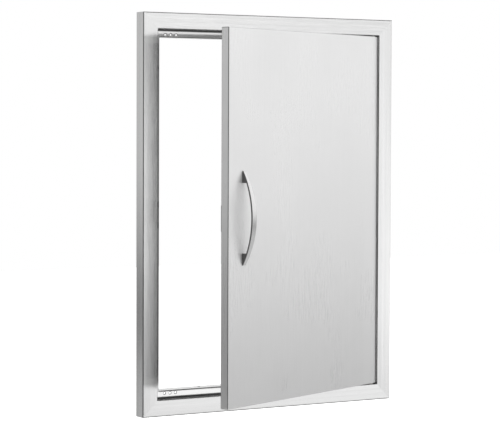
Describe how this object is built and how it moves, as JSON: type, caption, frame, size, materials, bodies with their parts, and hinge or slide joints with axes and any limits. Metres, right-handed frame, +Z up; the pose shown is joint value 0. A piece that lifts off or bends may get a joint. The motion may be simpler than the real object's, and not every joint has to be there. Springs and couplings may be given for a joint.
{
  "type": "outdoor kitchen access door",
  "caption": "Single stainless access door for an outdoor kitchen island: raised mitred frame with sleeve, hinged double-skin door, bowed handle and magnetic catch.",
  "frame": {"origin": "middle of the cut-out, in the plane of the island's face, where the frame's outer sides seat", "axes": "+X to the right as seen from the front, +Y into the island, +Z up"},
  "size_m": [0.508, 0.2221, 0.6858],
  "materials": {
    "frame_steel": "brushed, bright",
    "door_steel": "fine brushed",
    "liner_steel": "mill",
    "handle_steel": "polished",
    "hinge_steel": "mill",
    "pin_steel": "turned",
    "fastener_steel": "bright",
    "pole_steel": "zinc plated",
    "bearing_nylon": "natural nylon",
    "catch_plastic": "matt",
    "plug_plastic": "matt",
    "magnet_ferrite": "sintered",
    "bumper_rubber": "matt"
  },
  "bodies": {
    "frame": {"frame_top_rail": "frame_steel", "frame_bottom_rail": "frame_steel", "frame_left_stile": "frame_steel", "frame_right_stile": "frame_steel", "upper_hinge_bracket": "hinge_steel", "upper_hinge_pin": "pin_steel", "upper_bracket_screws": "fastener_steel", "upper_bracket_nuts": "fastener_steel", "lower_hinge_bracket": "hinge_steel", "lower_hinge_pin": "pin_steel", "lower_bracket_screws": "fastener_steel", "lower_bracket_nuts": "fastener_steel", "lower_pivot_washer": "bearing_nylon", "catch_housing": "catch_plastic", "catch_magnet": "magnet_ferrite", "catch_poles": "pole_steel", "catch_screws": "fastener_steel", "door_bumpers": "bumper_rubber"},
    "door": {"door_skin": "door_steel", "door_liner": "liner_steel", "handle": "handle_steel", "handle_backing_plate": "hinge_steel", "handle_washers": "fastener_steel", "handle_screws": "fastener_steel", "liner_plugs": "plug_plastic", "strike_plate": "pole_steel", "strike_rivets": "fastener_steel", "upper_door_bushing": "bearing_nylon", "lower_door_bushing": "bearing_nylon"}
  },
  "joints": [
    {"name": "door_hinge", "type": "hinge", "parent": "frame", "child": "door", "pos_m": [0.215, -0.0194, 0], "axis": [0, 0, 1], "range_deg": [-22.8, 89.2]}
  ]
}
